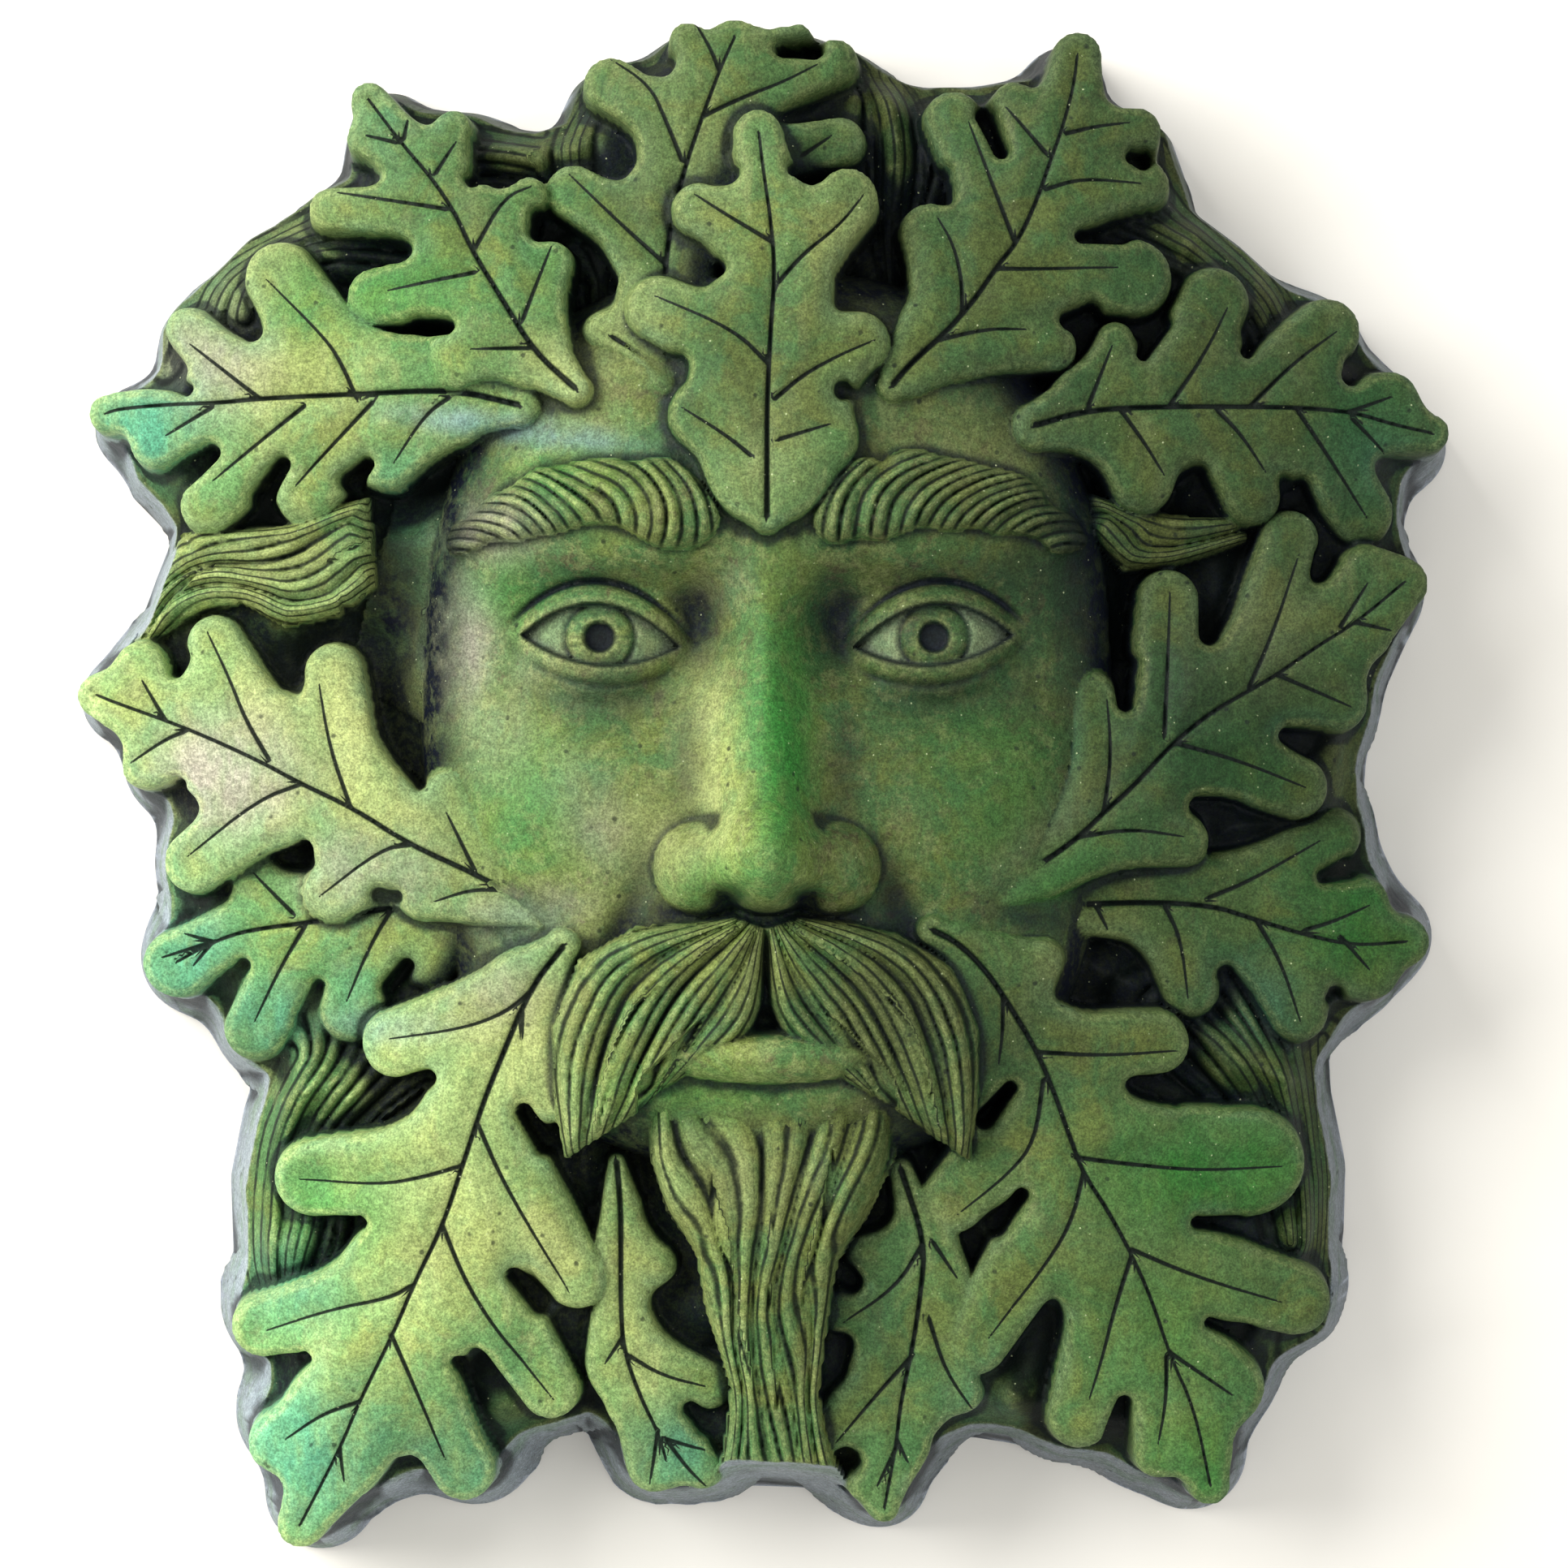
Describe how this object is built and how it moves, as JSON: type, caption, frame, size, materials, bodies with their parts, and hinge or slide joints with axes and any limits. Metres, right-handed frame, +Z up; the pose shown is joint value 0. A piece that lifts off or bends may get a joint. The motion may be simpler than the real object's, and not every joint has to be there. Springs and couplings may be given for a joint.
{
  "type": "green man wall plaque",
  "caption": "Wall plaque cast in one piece: a bearded face among oak leaves in high relief, on a slab with a flat back that hangs against a wall.",
  "frame": {"origin": "middle of the flat back, where the plaque lies against the wall", "axes": "+Z up the face, +X to the right as seen from the front, +Y out of the back into the wall, so the face looks along -Y"},
  "size_m": [0.1769, 0.048, 0.1963],
  "materials": {
    "painted_cast_stone": "hand painted in mottled greens with a dark wash in the recesses, bare grey cast stone at the sides"
  },
  "bodies": {
    "root": {"green_man_plaque": "painted_cast_stone"}
  },
  "joints": []
}
